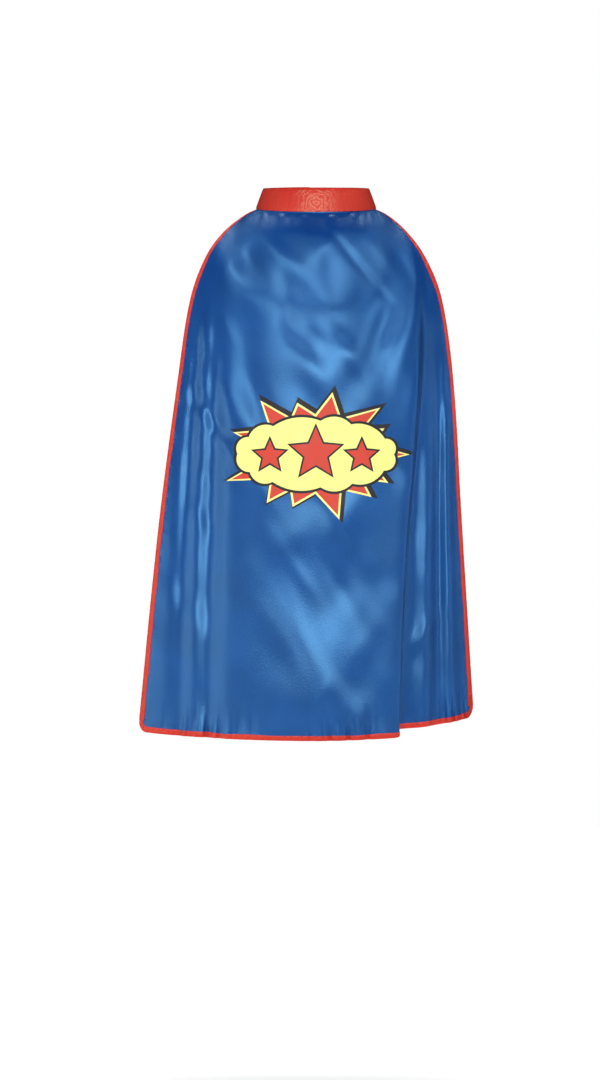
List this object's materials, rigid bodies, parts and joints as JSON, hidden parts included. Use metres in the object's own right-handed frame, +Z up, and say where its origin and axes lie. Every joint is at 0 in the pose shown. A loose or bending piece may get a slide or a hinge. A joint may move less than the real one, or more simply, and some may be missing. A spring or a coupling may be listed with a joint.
{
  "type": "superhero cape",
  "caption": "Child's satin cape on a stand-up collar band that closes at the throat, with bound edges, hanging folds and a printed comic burst.",
  "frame": {"origin": "middle of the wearer's neck, level with the collar's lower edge at its sides", "axes": "+Z up, the cape hangs on the -Y side with its printed face towards -Y, +X towards the wearer's right"},
  "size_m": [0.4313, 0.1914, 0.7197],
  "materials": {
    "blue_satin": "satin",
    "red_satin": "satin",
    "interfacing": "matte",
    "red_thread": "satin",
    "hook_nylon": "matte",
    "loop_pile": "matte",
    "label_white": "satin",
    "print_black": "matte",
    "print_cream": "matte",
    "print_red": "matte",
    "print_yellow": "matte"
  },
  "bodies": {
    "collar_back": {"collar_back_outer": "red_satin", "collar_back_lining": "red_satin", "collar_back_interfacing": "interfacing", "neck_seam_stitching": "red_thread", "care_label": "label_white"},
    "collar_right_end": {"collar_right_outer": "red_satin", "collar_right_lining": "red_satin", "collar_right_interfacing": "interfacing", "hook_tape": "hook_nylon", "hook_tape_stitching": "red_thread"},
    "collar_left_end": {"collar_left_outer": "red_satin", "collar_left_lining": "red_satin", "collar_left_interfacing": "interfacing", "loop_tape": "loop_pile", "loop_tape_stitching": "red_thread"},
    "cape": {"cape_panel": "blue_satin", "edge_binding": "red_satin", "binding_stitching": "red_thread", "emblem_shadow": "print_black", "emblem_keyline": "print_cream", "emblem_burst": "print_red", "emblem_cloud_outline": "print_black", "emblem_cloud": "print_yellow", "emblem_star_outlines": "print_black", "emblem_stars": "print_red"}
  },
  "joints": [
    {"name": "cape_lift", "type": "hinge", "parent": "collar_back", "child": "cape", "pos_m": [0, -0.066, -0.0115], "axis": [-1, 0, 0], "range_deg": [0, 70]},
    {"name": "collar_right_swing", "type": "hinge", "parent": "collar_back", "child": "collar_right_end", "pos_m": [0.06798, 0.033, 0.0055], "axis": [0.2972, 0.1716, -0.9393], "range_deg": [0, 90]},
    {"name": "collar_left_swing", "type": "hinge", "parent": "collar_back", "child": "collar_left_end", "pos_m": [-0.06798, 0.033, 0.0055], "axis": [0.2972, -0.1716, 0.9393], "range_deg": [0, 90]}
  ],
  "couplings": [
    {"joint": "collar_left_swing", "follows": "collar_right_swing", "ratio": 1}
  ]
}
